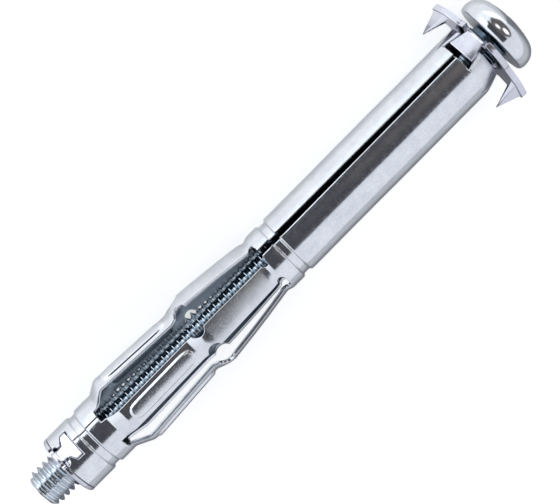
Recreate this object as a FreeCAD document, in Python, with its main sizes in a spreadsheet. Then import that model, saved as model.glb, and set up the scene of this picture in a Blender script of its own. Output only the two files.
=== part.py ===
import FreeCAD, Part
import Sketcher
import math
import os

# Metal hollow wall anchor for an M6 screw. Every piece is drawn about its own Z axis: z = 0 is the
# sleeve's mouth, +Z runs into the wall towards the screw's tip, and +X points at the sleeve's seam.
# Only the last step lays the finished anchor on its side. Lengths are millimetres, angles degrees.

SIZES = [
    ("thread_diameter", 5.9, "outside of the M6 thread"),
    ("tip_chamfer", 0.7, "cone on the screw's tip"),
    ("head_diameter", 11.7, "pan head"),
    ("head_height", 4.3, "pan head"),
    ("head_shoulder_radius", 2.5, "rounding between the head's rim and its crown"),
    ("head_shoulder_height", 1.0, "widest place of the head above its bearing face"),
    ("recess_depth", 2.9, "cross recess below the crown"),
    ("recess_span", 6.6, "cross recess, tip to tip at the crown"),
    ("recess_floor_span", 2.9, "cross recess, tip to tip at its floor"),
    ("recess_wing", 1.25, "width of a recess wing at the crown"),
    ("recess_floor_wing", 0.75, "width of a recess wing at its floor"),
    ("tip_reach", 5.0, "screw standing out of the nut plate"),
    ("head_gap", 0.45, "free space left between the flange plate's raised side and the head"),
    ("sleeve_length", 79.15, "rolled sleeve, mouth to nut end"),
    ("sleeve_diameter", 9.54, "rolled sleeve, outside"),
    ("sleeve_sheet", 0.55, "sheet that the sleeve is rolled from"),
    ("bead_width", 1.1, "rolled-in bead"),
    ("bead_depth", 0.3, "rolled-in bead"),
    ("mouth_bead_place", 37.45, "bead beside the legs, from the mouth"),
    ("nut_bead_place", 4.7, "bead that holds the nut, from the nut end"),
    ("seam_at_mouth", 0.55, "open seam at the mouth"),
    ("seam_at_legs", 1.05, "open seam where the legs begin"),
    ("seam_at_nut", 0.14, "closed seam in the nut end"),
    ("leg_count", 5, "folding legs round the sleeve"),
    ("leg_angle", 48.4, "part of the round that one leg takes"),
    ("legs_start", 40.2, "mouth to the slots between the legs"),
    ("nut_end_length", 7.65, "plain ring between the slots and the nut end"),
    ("neck_run", 1.3, "from the slots' mouth end to the leg's lowest place"),
    ("neck_in", 0.15, "how far the leg dips below the tube there"),
    ("crest_out", 1.33, "leg above the tube at the hinge's crest"),
    ("hinge_run", 2.4, "from the hinge's crest to its dip"),
    ("dip_out", 0.45, "leg above the tube in the dip"),
    ("stiff_run", 12.5, "stiffened stretch from the dip to the shoulder"),
    ("shoulder_out", 1.25, "leg above the tube at the shoulder"),
    ("foot_slope_run", 2.8, "slope from the shoulder down to the foot"),
    ("foot_run", 0.5, "level foot before the slots end"),
    ("bend_length", 0.7, "each rounded bend, along the leg"),
    ("rib_length", 12.0, "pressed rib on each leg"),
    ("rib_width", 2.5, "pressed rib, over its foot"),
    ("rib_height", 0.5, "pressed rib above the leg"),
    ("rib_draft_angle", 30.0, "slant of the rib's sides"),
    ("rib_root", 0.35, "how deep the rib's foot reaches into the sheet"),
    ("hinge_notch_radius", 1.22, "round notch that marks the hinge"),
    ("hinge_notch_depth", 0.84, "the same, into the leg's edge"),
    ("neck_notch_radius", 0.57, "small notch at the slot's end"),
    ("neck_notch_depth", 0.45, "the same, into the leg's edge"),
    ("dovetail_notch_depth", 2.75, "notch for the flange's tab, from the mouth"),
    ("dovetail_notch_mouth", 3.92, "width of that notch at the mouth"),
    ("dovetail_notch_floor", 5.25, "width of that notch at its floor"),
    ("crimp_in", 0.9, "one land of the mouth, bent towards the screw"),
    ("flange_sheet", 0.9, "sheet of the flange plate"),
    ("flange_rock_angle", 5.0, "angle that the loose flange plate is tipped over, about its wings"),
    ("flange_play", 0.03, "tipped flange plate clear of the sleeve's lands"),
    ("flange_disc_diameter", 10.6, "round middle of the flange plate"),
    ("flange_hole", 6.6, "hole for the screw"),
    ("wing_length", 17.3, "flange plate over both wings"),
    ("wing_root", 5.9, "width of a wing at the disc"),
    ("wing_end", 4.5, "width of a wing where its pointed end begins"),
    ("wing_nose", 1.0, "width of the wing's blunt nose"),
    ("wing_turn_angle", 23.4, "turn of the dovetail tabs from square to the wings"),
    ("wing_bend", 4.4, "where a wing starts to slope, from the axis"),
    ("wing_drop", 0.42, "slope of a wing towards the wall at its end"),
    ("tab_face", 4.4, "outer face of a dovetail tab, from the axis"),
    ("tab_root", 3.0, "width of a dovetail tab at the flange"),
    ("tab_end", 4.1, "width of a dovetail tab at its free end"),
    ("tab_travel", 0.12, "free notch beyond the end of the tab that is pushed in"),
    ("tab_relief", 0.7, "slit beside the tab's root"),
    ("claw_width", 4.1, "claw at its root"),
    ("claw_reach", 3.85, "claw from the flange to its point"),
    ("claw_crease", 1.75, "depth of the fold down the claw"),
    ("claw_inward", 1.4, "how far the point leans inwards"),
    ("claw_point", 0.16, "width left at the point"),
    ("claw_inset", 0.12, "claw's ridge behind the wing's end"),
    ("nut_sheet", 0.65, "plate of the nut"),
    ("nut_wall_gap", 0.05, "nut's collar inside the sleeve"),
    ("thread_gap", 0.05, "screw in the nut's thread"),
    ("thread_entry", 0.4, "chamfer where the screw leaves the nut's thread"),
    ("lock_length", 2.75, "T-shaped tab that locks the seam, from the nut end"),
    ("lock_head", 4.1, "width of its head"),
    ("lock_head_side", 0.9, "straight side of its head"),
    ("lock_neck", 1.8, "width of its neck"),
    ("lock_neck_length", 1.25, "its neck"),
    ("lock_gap", 0.08, "play round it in the sleeve's notch"),
    ("lock_relief_radius", 0.62, "round relief beside the neck"),
    ("lying_roll_angle", 144.0, "turn from the seam to the side that lies down"),
]

doc = FreeCAD.newDocument("hollow_wall_anchor")
sheet = doc.addObject("Spreadsheet::Sheet", "values")
for row, (alias, number, meaning) in enumerate(SIZES, start=1):
    sheet.set(f"A{row}", alias)
    sheet.set(f"B{row}", str(number))
    sheet.set(f"C{row}", meaning)
    sheet.setAlias(f"B{row}", alias)
doc.recompute()


class Size:
    """A length or angle worked out from the sheet: its number now, and the expression behind it."""

    def __init__(self, number, expression):
        self.number = number
        self.expression = expression

    def __add__(self, other):
        other = as_size(other)
        return Size(self.number + other.number, f"({self.expression} + {other.expression})")

    def __sub__(self, other):
        other = as_size(other)
        return Size(self.number - other.number, f"({self.expression} - {other.expression})")

    def __mul__(self, other):
        other = as_size(other)
        return Size(self.number * other.number, f"({self.expression} * {other.expression})")

    def __truediv__(self, other):
        other = as_size(other)
        return Size(self.number / other.number, f"({self.expression} / {other.expression})")

    def __neg__(self):
        return Size(-self.number, f"(-1 * {self.expression})")


def as_size(value):
    return value if isinstance(value, Size) else Size(float(value), str(value))


def sine(angle):
    return Size(math.sin(math.radians(angle.number)), f"sin({angle.expression} * 1 deg)")


def cosine(angle):
    return Size(math.cos(math.radians(angle.number)), f"cos({angle.expression} * 1 deg)")


def arc_tangent(slope):
    return Size(math.degrees(math.atan(slope.number)), f"atan({slope.expression})")


def root(square):
    return Size(math.sqrt(square.number), f"sqrt({square.expression})")


size = {alias: Size(float(number), f"values.{alias}") for alias, number, meaning in SIZES}
zero = as_size(0)


def new_body(name):
    body = doc.addObject("PartDesign::Body", name)
    body.Label = name
    return body


def origin_feature(body, role):
    return [feature for feature in body.Origin.OriginFeatures if feature.Role == role][0]


def new_sketch(body, name, plane, raised=zero):
    """A sketch on one of the body's origin planes, raised along that plane's normal."""
    sketch = body.newObject("Sketcher::SketchObject", name)
    sketch.AttachmentSupport = [(origin_feature(body, plane), "")]
    sketch.MapMode = "FlatFace"
    move_sketch(sketch, z=raised)
    return sketch


def move_sketch(sketch, x=zero, y=zero, z=zero):
    sketch.AttachmentOffset.Base = FreeCAD.Vector(x.number, y.number, z.number)
    for letter, distance in (("x", x), ("y", y), ("z", z)):
        sketch.setExpression(f".AttachmentOffset.Base.{letter}", distance.expression)


def turn_sketch(sketch, axis, angle):
    """Turns a sketch about one of its plane's own axes."""
    sketch.AttachmentOffset.Rotation = FreeCAD.Rotation(axis, angle.number)
    sketch.setExpression(".AttachmentOffset.Rotation.Angle", angle.expression)


def bind(sketch, kind, references, value):
    """One dimension of a sketch, tied to the sheet."""
    number = sketch.addConstraint(Sketcher.Constraint(kind, *references, value.number))
    sketch.setExpression(f"Constraints[{number}]", value.expression)


def place_point(sketch, edge, end, x, y):
    """Ties a point of a sketch to the sketch's own axes."""
    if x.number == 0:
        sketch.addConstraint(Sketcher.Constraint("PointOnObject", edge, end, -2))
    else:
        bind(sketch, "DistanceX", (-1, 1, edge, end), x)
    if y.number == 0:
        sketch.addConstraint(Sketcher.Constraint("PointOnObject", edge, end, -1))
    else:
        bind(sketch, "DistanceY", (-1, 1, edge, end), y)


def vector(point):
    return FreeCAD.Vector(point[0].number, point[1].number, 0)


def draw_arc(sketch, start, end, centre, turn):
    """An arc about centre. Returns its edge number and which of its ends is the start."""
    middle = vector(centre)
    first, last = (start, end) if turn == "left" else (end, start)
    ray, other = vector(first) - middle, vector(last) - middle
    circle = Part.Circle(middle, FreeCAD.Vector(0, 0, 1), ray.Length)
    angles = math.atan2(ray.y, ray.x), math.atan2(other.y, other.x)
    edge = sketch.addGeometry(Part.ArcOfCircle(circle, *angles), False)
    return edge, 1 if turn == "left" else 2


def bind_centre(sketch, edge, start, end, centre):
    """An arc between two fixed points needs one coordinate of its centre."""
    chord = vector(end) - vector(start)
    if abs(chord.y) >= abs(chord.x):
        across, kind, axis = centre[0], "DistanceX", -2
    else:
        across, kind, axis = centre[1], "DistanceY", -1
    if across.number == 0:
        sketch.addConstraint(Sketcher.Constraint("PointOnObject", edge, 3, axis))
    else:
        bind(sketch, kind, (-1, 1, edge, 3), across)


def draw_outline(sketch, corners, arcs=None):
    """A closed outline through the corners. arcs names the sides that are arcs, by the number of
    their first corner, each with its centre and its turn, left or right."""
    arcs = arcs or {}
    corners = [(as_size(x), as_size(y)) for x, y in corners]
    sides = []
    for number, start in enumerate(corners):
        end = corners[(number + 1) % len(corners)]
        if number in arcs:
            centre, turn = arcs[number]
            centre = as_size(centre[0]), as_size(centre[1])
            edge, begins = draw_arc(sketch, start, end, centre, turn)
            sides.append((edge, begins))
        else:
            edge = sketch.addGeometry(Part.LineSegment(vector(start), vector(end)), False)
            sides.append((edge, 1))
    for number, (edge, begins) in enumerate(sides):
        before, before_begins = sides[number - 1]
        joint = Sketcher.Constraint("Coincident", before, 3 - before_begins, edge, begins)
        sketch.addConstraint(joint)
        place_point(sketch, edge, begins, *corners[number])
    for number, (centre, turn) in arcs.items():
        centre = as_size(centre[0]), as_size(centre[1])
        start, end = corners[number], corners[(number + 1) % len(corners)]
        bind_centre(sketch, sides[number][0], start, end, centre)


def draw_circle(sketch, x, y, radius):
    x, y = as_size(x), as_size(y)
    circle = Part.Circle(vector((x, y)), FreeCAD.Vector(0, 0, 1), radius.number)
    edge = sketch.addGeometry(circle, False)
    place_point(sketch, edge, 3, x, y)
    bind(sketch, "Radius", (edge,), radius)


def mirrored(corners):
    """The corners followed by their mirror images in the sketch's upright axis, as one outline."""
    return corners + [(-as_size(x), y) for x, y in reversed(corners)]


def pad(body, sketch, length, reverse=False, both_ways=False, draft=None):
    feature = body.newObject("PartDesign::Pad", sketch.Name + "_pad")
    feature.Profile = sketch
    feature.Length = length.number
    feature.setExpression("Length", length.expression)
    feature.Reversed = reverse
    if both_ways:
        feature.SideType = "Symmetric"
    if draft:
        feature.TaperAngle = -draft.number
        feature.setExpression("TaperAngle", f"-1 * {draft.expression}")
    return feature


def pocket(body, sketch, length=None, reverse=False, both_ways=False):
    feature = body.newObject("PartDesign::Pocket", sketch.Name + "_pocket")
    feature.Profile = sketch
    feature.Reversed = reverse
    if both_ways:
        feature.SideType = "Symmetric"
    if length:
        feature.Length = length.number
        feature.setExpression("Length", length.expression)
    else:
        feature.Type = "ThroughAll"
    return feature


def revolve(body, sketch, angle=360, reverse=False):
    """Turns a sketch on the XZ plane about the anchor's axis."""
    feature = body.newObject("PartDesign::Revolution", sketch.Name + "_turned")
    feature.Profile = sketch
    feature.ReferenceAxis = (sketch, ["V_Axis"])
    feature.Angle = angle
    feature.Reversed = reverse
    return feature


def repeat_round(body, originals, count, name):
    feature = body.newObject("PartDesign::PolarPattern", name)
    feature.Originals = originals
    feature.Axis = (origin_feature(body, "Z_Axis"), [""])
    feature.Angle = 360
    feature.Occurrences = int(count.number)
    feature.setExpression("Occurrences", count.expression)
    body.Tip = feature
    return feature


# Sleeve: one sheet rolled into a tube, with its middle cut into five legs

outer = size["sleeve_diameter"] / 2
inner = outer - size["sleeve_sheet"]
slots_end = size["sleeve_length"] - size["nut_end_length"]


def draw_tube_wall(sketch, low, high, bead):
    """The tube's wall between two heights, with one bead rolled in."""
    edge, depth = size["bead_width"] / 2, size["bead_depth"]
    bends = [(zero, bead - edge), (depth, bead), (zero, bead + edge)]
    outside = [(outer, low)] + [(outer - sunk, place) for sunk, place in bends] + [(outer, high)]
    inside = [(inner, low)] + [(inner - sunk, place) for sunk, place in bends] + [(inner, high)]
    draw_outline(sketch, outside + list(reversed(inside)))


def make_mouth_tube(body):
    """The tube from the mouth to the legs. One of its two lands is crimped towards the screw."""
    land = size["dovetail_notch_depth"]
    tube = new_sketch(body, "mouth_tube", "XZ_Plane")
    draw_tube_wall(tube, land, size["legs_start"], size["mouth_bead_place"])
    revolve(body, tube)
    for name, crimp, reverse in (("plain_land", zero, False), ("crimped_land", size["crimp_in"], True)):
        sketch = new_sketch(body, name, "XZ_Plane")
        corners = [(inner - crimp, zero), (outer - crimp, zero), (outer, land), (inner, land)]
        draw_outline(sketch, corners)
        revolve(body, sketch, angle=180, reverse=reverse)


def leg_stations():
    """Where each leg bends, as pairs of height and rise above the tube, foot and head included. The
    folds next to the tube are sharp, the three between them are rounded over two stations."""
    low = size["legs_start"]
    foot = slots_end - size["foot_run"]
    shoulder = foot - size["foot_slope_run"]
    dip = shoulder - size["stiff_run"]
    crest = dip - size["hinge_run"]
    bends = [
        (low + size["neck_run"], -size["neck_in"]), (crest, size["crest_out"]),
        (dip, size["dip_out"]), (shoulder, size["shoulder_out"]), (foot, zero),
    ]
    corners = [(low, zero)] + bends + [(slots_end, zero)]
    half_bend = size["bend_length"] / 2
    stations = [corners[0]]
    for before, bend, after in zip(corners, corners[1:], corners[2:]):
        if bend in (bends[0], bends[-1]):
            stations.append(bend)
            continue
        for neighbour, way in ((before, -1), (after, 1)):
            run = (neighbour[0] - bend[0]) * way
            share = half_bend / run
            rise = bend[1] + (neighbour[1] - bend[1]) * share
            stations.append((bend[0] + half_bend * way, rise))
    return stations + [corners[-1]], dip, shoulder, crest


def make_legs(body):
    """One leg opposite the seam, repeated round the axis, so that a slot lies in the seam's line."""
    stations, dip, shoulder, crest = leg_stations()
    half = size["leg_angle"] / 2
    sections = []
    for number, (height, rise) in enumerate(stations):
        sketch = new_sketch(body, f"leg_section_{number}", "XY_Plane")
        move_sketch(sketch, x=-rise, z=height)
        corners = [
            (-(outer * cosine(half)), outer * sine(half)), (-(outer * cosine(half)), -(outer * sine(half))),
            (-(inner * cosine(half)), -(inner * sine(half))), (-(inner * cosine(half)), inner * sine(half)),
        ]
        draw_outline(sketch, corners, {0: ((zero, zero), "left"), 2: ((zero, zero), "right")})
        sections.append(sketch)
    leg = body.newObject("PartDesign::AdditiveLoft", "leg")
    leg.Profile = sections[0]
    leg.Sections = sections[1:]
    leg.Ruled = True
    rib, hollow = make_rib(body, dip, shoulder)
    notches = make_leg_notches(body, dip, crest)
    repeat_round(body, [leg, rib, hollow, notches], size["leg_count"], "legs")


def draw_rib(sketch, length, width):
    """A long hole shape with round ends, upright in the sketch."""
    side = width / 2
    straight = length / 2 - side
    corners = [(side, -straight), (side, straight), (-side, straight), (-side, -straight)]
    draw_outline(sketch, corners, {1: ((zero, straight), "left"), 3: ((zero, -straight), "left")})


def draw_rib_hollow(sketch, length, width):
    """The same upright shape with straight-cut ends, a quarter of the width off each corner."""
    side, end, cut = width / 2, length / 2, width / 4
    draw_outline(sketch, [
        (side, cut - end), (side, end - cut), (side - cut, end), (cut - side, end),
        (-side, end - cut), (-side, cut - end), (cut - side, -end), (side - cut, -end),
    ])


def make_rib(body, dip, shoulder):
    """The rib pressed outwards between dip and shoulder, and the hollow behind it."""
    middle = (dip + shoulder) / 2
    face = outer + (size["dip_out"] + size["shoulder_out"]) / 2
    rise = size["shoulder_out"] - size["dip_out"]
    slope = arc_tangent(rise / size["stiff_run"])
    planes = {}
    for name, sunk in (("rib", size["rib_root"]), ("rib_hollow", size["sleeve_sheet"] * 2)):
        sketch = new_sketch(body, name, "YZ_Plane")
        move_sketch(sketch, y=middle, z=-(face - sunk))
        turn_sketch(sketch, FreeCAD.Vector(-1, 0, 0), slope)
        planes[name] = sketch
    draw_rib(planes["rib"], size["rib_length"], size["rib_width"])
    wall = size["sleeve_sheet"] * 2
    draw_rib_hollow(planes["rib_hollow"], size["rib_length"] - wall, size["rib_width"] - wall)
    tall = size["rib_root"] + size["rib_height"]
    rib = pad(body, planes["rib"], tall, reverse=True, draft=size["rib_draft_angle"])
    hollow = pocket(body, planes["rib_hollow"], size["sleeve_sheet"] + size["rib_height"])
    return rib, hollow


def make_leg_notches(body, dip, crest):
    """Round notches in both edges of the leg, at the hinge and at the neck."""
    edge = outer * sine(size["leg_angle"] / 2)
    hinge, neck = size["hinge_notch_radius"], size["neck_notch_radius"]
    hinge_side = edge - size["hinge_notch_depth"] + hinge
    neck_side = edge - size["neck_notch_depth"] + neck
    hinge_place = (dip * 0.4) + (crest * 0.6)
    neck_place = size["legs_start"] + neck
    sketch = new_sketch(body, "leg_notches", "YZ_Plane")
    for way in (1, -1):
        draw_circle(sketch, hinge_side * way, hinge_place, hinge)
        draw_circle(sketch, neck_side * way, neck_place, neck)
    return pocket(body, sketch)


def make_nut_ring(body):
    ring = new_sketch(body, "nut_ring", "XZ_Plane")
    bead = size["sleeve_length"] - size["nut_bead_place"]
    draw_tube_wall(ring, slots_end, size["sleeve_length"], bead)
    revolve(body, ring)


def cut_seam(body):
    """The sheet's two edges stay apart: wide beside the legs, nearly closed at the nut."""
    past = size["sleeve_sheet"]
    wide, narrow, shut = (size[name] / 2 for name in ("seam_at_legs", "seam_at_mouth", "seam_at_nut"))
    mouth = new_sketch(body, "mouth_seam", "YZ_Plane")
    draw_outline(mouth, mirrored([(narrow, -past), (wide, size["legs_start"] + past)]))
    pocket(body, mouth, outer + past, reverse=True)
    nut = new_sketch(body, "nut_seam", "YZ_Plane")
    draw_outline(nut, mirrored([(shut, slots_end - past), (shut, size["sleeve_length"] + past)]))
    pocket(body, nut, outer + past, reverse=True)


def cut_dovetail_notches(body):
    """Two notches in the mouth, at the seam and opposite it, wider inside than at the edge."""
    edge, floor = size["dovetail_notch_mouth"] / 2, size["dovetail_notch_floor"] / 2
    past = size["sleeve_sheet"]
    notch = new_sketch(body, "dovetail_notch", "YZ_Plane")
    corners = [(edge, -past), (edge, zero), (floor, size["dovetail_notch_depth"])]
    draw_outline(notch, mirrored(corners))
    pocket(body, notch, outer * 2 + past * 2, both_ways=True)


def lock_half_outline(play, top):
    """Half of the T-shaped lock, from its neck's edge to the head's inner corner."""
    end = size["sleeve_length"]
    neck, head = size["lock_neck"] / 2 + play, size["lock_head"] / 2 + play
    inner_end = end - size["lock_length"]
    return [
        (neck, top), (neck, end - size["lock_neck_length"]),
        (head, inner_end + size["lock_head_side"]), (head, inner_end - play),
    ]


def cut_lock_notch(body):
    """The notch across the seam that the nut plate's T-shaped tab locks shut."""
    end = size["sleeve_length"]
    past = size["sleeve_sheet"]
    notch = new_sketch(body, "lock_notch", "YZ_Plane")
    draw_outline(notch, mirrored(lock_half_outline(size["lock_gap"], end + past)))
    pocket(body, notch, outer + past, reverse=True)
    reliefs = new_sketch(body, "lock_reliefs", "YZ_Plane")
    radius = size["lock_relief_radius"]
    for way in (1, -1):
        draw_circle(reliefs, (size["lock_neck"] / 2 + radius * 0.8) * way, end - radius / 2, radius)
    pocket(body, reliefs, outer + past, reverse=True)


sleeve = new_body("sleeve")
make_mouth_tube(sleeve)
make_legs(sleeve)
make_nut_ring(sleeve)
cut_seam(sleeve)
cut_dovetail_notches(sleeve)
cut_lock_notch(sleeve)

# Flange plate: a disc with two sloping wings, two dovetail tabs and two claws

rock_rise = outer * sine(size["flange_rock_angle"]) / cosine(size["flange_rock_angle"])
flange_low = -(rock_rise + size["flange_play"])
flange_top = flange_low - size["flange_sheet"]
disc = size["flange_disc_diameter"] / 2
wing_tip = size["wing_length"] / 2


def make_flange_blank(body):
    """The bowed plate, seen from its side, then cut to its outline from above."""
    bend, drop = size["wing_bend"], size["wing_drop"]
    side = new_sketch(body, "flange_side", "YZ_Plane")
    under = [(bend, flange_low), (wing_tip, flange_low + drop)]
    above = [(wing_tip, flange_top + drop), (bend, flange_top)]
    draw_outline(side, mirrored(under + above))
    pad(body, side, disc * 2 + size["flange_sheet"], both_ways=True)
    outline = new_sketch(body, "flange_outline", "XY_Plane")
    beyond = wing_tip + size["flange_sheet"]
    draw_outline(outline, [(beyond, -beyond), (beyond, beyond), (-beyond, beyond), (-beyond, -beyond)])
    draw_wings(outline)
    pocket(body, outline, both_ways=True)
    hole = new_sketch(body, "flange_hole", "XY_Plane")
    draw_circle(hole, zero, zero, size["flange_hole"] / 2)
    pocket(body, hole, both_ways=True)


def draw_wings(sketch):
    """Outline of the disc with a tapered wing on each side that ends in a blunt point."""
    start, end, nose = size["wing_root"] / 2, size["wing_end"] / 2, size["wing_nose"] / 2
    shoulder = root(disc * disc - start * start)
    side = wing_tip - size["claw_crease"]
    upper = [
        (start, shoulder), (end, side), (nose, wing_tip),
        (-nose, wing_tip), (-end, side), (-start, shoulder),
    ]
    lower = [(-x, -y) for x, y in upper]
    draw_outline(sketch, upper + lower, {5: ((zero, zero), "left"), 11: ((zero, zero), "left")})


def make_flange_tabs(body):
    """Two tabs bent down from the disc's rim, with a slit each side of the root."""
    turn = size["wing_turn_angle"]
    sheet_now = size["flange_sheet"]
    face = size["tab_face"]
    deepest = face * cosine(turn) + size["tab_end"] / 2 * sine(turn)
    pushed_in = deepest * sine(size["flange_rock_angle"])
    free_end = size["dovetail_notch_depth"] - size["tab_travel"] - pushed_in
    narrow, wide = size["tab_root"] / 2, size["tab_end"] / 2
    slit = size["tab_relief"]
    slit_floor = face - sheet_now + slit / 2
    middle = narrow + slit / 2
    beyond = disc + sheet_now
    rim = new_sketch(body, "tab_slits", "XY_Plane", raised=flange_top)
    corners = [
        (beyond, -narrow - slit), (beyond, narrow + slit),
        (slit_floor, narrow + slit), (slit_floor, narrow),
        (face, narrow), (face, -narrow), (slit_floor, -narrow), (slit_floor, -narrow - slit),
    ]
    arcs = {2: ((slit_floor, middle), "left"), 6: ((slit_floor, -middle), "left")}
    draw_outline(rim, corners, arcs)
    turn_sketch(rim, FreeCAD.Vector(0, 0, 1), turn)
    slits = pocket(body, rim, sheet_now, reverse=True)
    back = face - sheet_now
    tab = new_sketch(body, "dovetail_tab", "YZ_Plane")
    move_sketch(tab, x=back * sine(turn), z=back * cosine(turn))
    turn_sketch(tab, FreeCAD.Vector(0, 1, 0), turn)
    draw_outline(tab, mirrored([(narrow, flange_top), (narrow, flange_low), (wide, free_end)]))
    bent = pad(body, tab, sheet_now)
    repeat_round(body, [slits, bent], as_size(2), "tabs")


def draw_claw_section(sketch, half_width, crease, thickness, ridge):
    """A creased strip seen from above, its ridge outwards."""
    corners = [(half_width, ridge - crease), (zero, ridge), (-half_width, ridge - crease)]
    behind = [(x, y - thickness) for x, y in reversed(corners)]
    draw_outline(sketch, corners + behind)


def make_claws(body):
    """Two creased claws bent down from the wings' ends, each drawn to a point."""
    start = flange_low + size["wing_drop"] - size["flange_sheet"] / 2
    claw_root = new_sketch(body, "claw_root", "XY_Plane", raised=start)
    half = size["claw_width"] / 2
    ridge = wing_tip - size["claw_inset"]
    draw_claw_section(claw_root, half, size["claw_crease"], size["flange_sheet"], ridge)
    point = new_sketch(body, "claw_point", "XY_Plane", raised=flange_low + size["claw_reach"])
    fine = size["claw_point"] / 2
    draw_claw_section(point, fine, fine / 2, fine, ridge - size["claw_inward"])
    claw = body.newObject("PartDesign::AdditiveLoft", "claw")
    claw.Profile = claw_root
    claw.Sections = [point]
    claw.Ruled = True
    repeat_round(body, [claw], as_size(2), "claws")


flange_plate = new_body("flange_plate")
make_flange_blank(flange_plate)
make_flange_tabs(flange_plate)
make_claws(flange_plate)

# Nut plate: end plate with its threaded collar and the T-shaped tab that locks the seam

nut_end = size["sleeve_length"]
nut_face = nut_end + size["nut_sheet"]
bore = size["thread_diameter"] / 2 + size["thread_gap"]


def make_lock_tab(body):
    """The tab follows the sleeve's curve: an arc of sheet whose sides are cut to the T."""
    half = size["lock_head"] / 2
    tab = new_sketch(body, "lock_tab", "XY_Plane", raised=nut_end - size["lock_length"])
    out, back = root(outer * outer - half * half), root(inner * inner - half * half)
    draw_outline(
        tab, [(out, -half), (out, half), (back, half), (back, -half)],
        {0: ((zero, zero), "left"), 2: ((zero, zero), "right")},
    )
    pad(body, tab, size["lock_length"] + size["nut_sheet"] / 2)
    beyond = half + size["nut_sheet"]
    neck, neck_end, head = lock_half_outline(zero, nut_face)[:3]
    for name, way in (("lock_right", 1), ("lock_left", -1)):
        cut = new_sketch(body, name, "YZ_Plane")
        corners = [neck, neck_end, head, (beyond, head[1]), (beyond, nut_face)]
        corners = [(x * way, y) for x, y in corners]
        draw_outline(cut, corners if way == 1 else list(reversed(corners)))
        pocket(body, cut, outer + size["nut_sheet"], reverse=True)


def make_nut(body):
    """The plate and its collar are turned together; the collar stops short of the bead."""
    collar = inner - size["nut_wall_gap"]
    entry = size["thread_entry"]
    soft = entry / 2
    collar_end = nut_end - size["nut_bead_place"] + size["bead_width"] / 2 + size["nut_wall_gap"]
    nut = new_sketch(body, "nut", "XZ_Plane")
    corners = [
        (bore, collar_end), (collar, collar_end), (collar, nut_end), (outer, nut_end),
        (outer, nut_face - soft), (outer - soft, nut_face), (bore + entry, nut_face),
        (bore, nut_face - entry),
    ]
    draw_outline(nut, corners)
    revolve(body, nut)
    reliefs = new_sketch(body, "nut_reliefs", "XY_Plane", raised=nut_face)
    radius = size["lock_relief_radius"]
    for way in (1, -1):
        draw_circle(reliefs, outer, (size["lock_neck"] / 2 + radius * 0.8) * way, radius)
    pocket(body, reliefs, size["nut_sheet"])


nut_plate = new_body("nut_plate")
make_lock_tab(nut_plate)
make_nut(nut_plate)

# Screw: pan head with a cross recess on a fully threaded shank, drawn at the thread's outside

tip = nut_face + size["tip_reach"]
raised_side = disc * sine(size["flange_rock_angle"])
bearing = flange_top - raised_side - size["head_gap"]
crown = bearing - size["head_height"]


def make_screw_blank(body):
    """Crown and shoulder of the head are two arcs that run into each other; below its widest place
    the head draws in a little, straight to the bearing face."""
    shank = size["thread_diameter"] / 2
    shoulder = size["head_shoulder_radius"]
    across = size["head_diameter"] / 2 - shoulder
    level = bearing - size["head_shoulder_height"]
    depth = size["head_height"] - size["head_shoulder_height"]
    crown_radius = (depth * depth + across * across - shoulder * shoulder) / ((depth - shoulder) * 2)
    crown_centre = crown + crown_radius
    share = crown_radius / (crown_radius - shoulder)
    meeting = (across * share, crown_centre + (level - crown_centre) * share)
    widest = size["head_diameter"] / 2
    rim = widest - size["head_shoulder_height"] * 0.2
    chamfer = size["tip_chamfer"]
    profile = new_sketch(body, "screw_profile", "XZ_Plane")
    corners = [
        (zero, crown), meeting, (widest, level), (rim, bearing), (shank, bearing), (shank, tip - chamfer),
        (shank - chamfer, tip), (zero, tip),
    ]
    draw_outline(profile, corners, {0: ((zero, crown_centre), "left"), 1: ((across, level), "left")})
    revolve(body, profile)


def draw_cross(sketch, span, wing):
    far, near = span / 2, wing / 2
    draw_outline(sketch, [
        (far, -near), (far, near), (near, near), (near, far), (-near, far), (-near, near),
        (-far, near), (-far, -near), (-near, -near), (-near, -far), (near, -far), (near, -near),
    ])


def cut_recess(body):
    opening = new_sketch(body, "recess_opening", "XY_Plane", raised=crown)
    draw_cross(opening, size["recess_span"], size["recess_wing"])
    floor = new_sketch(body, "recess_floor", "XY_Plane", raised=crown + size["recess_depth"])
    draw_cross(floor, size["recess_floor_span"], size["recess_floor_wing"])
    recess = body.newObject("PartDesign::SubtractiveLoft", "recess")
    recess.Profile = opening
    recess.Sections = [floor]
    recess.Ruled = True


screw = new_body("screw")
make_screw_blank(screw)
cut_recess(screw)

PIECES = [sleeve, flange_plate, nut_plate, screw]


def check(pieces):
    """Stops if any object has failed or any piece isn't one whole solid."""
    for item in doc.Objects:
        if "Invalid" in item.State or "Error" in item.State:
            raise RuntimeError(f"{item.Name} has failed: {item.State}")
    for piece in pieces:
        if piece.Shape.isNull() or not piece.Shape.isValid() or len(piece.Shape.Solids) != 1:
            raise RuntimeError(f"{piece.Label} is not one valid solid")


def seat_flange(piece):
    """Turns the flange plate until its tabs meet the notches, and tips the loose plate about its
    wings so that its seam side lifts towards the head."""
    hinge = FreeCAD.Vector(0, 0, flange_low.number)
    turn = FreeCAD.Rotation(FreeCAD.Vector(0, 0, 1), -sheet.get("wing_turn_angle"))
    tilt = FreeCAD.Rotation(FreeCAD.Vector(0, 1, 0), sheet.get("flange_rock_angle"))
    piece.Placement = FreeCAD.Placement(FreeCAD.Vector(0, 0, 0), turn.multiply(tilt), hinge)


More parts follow.
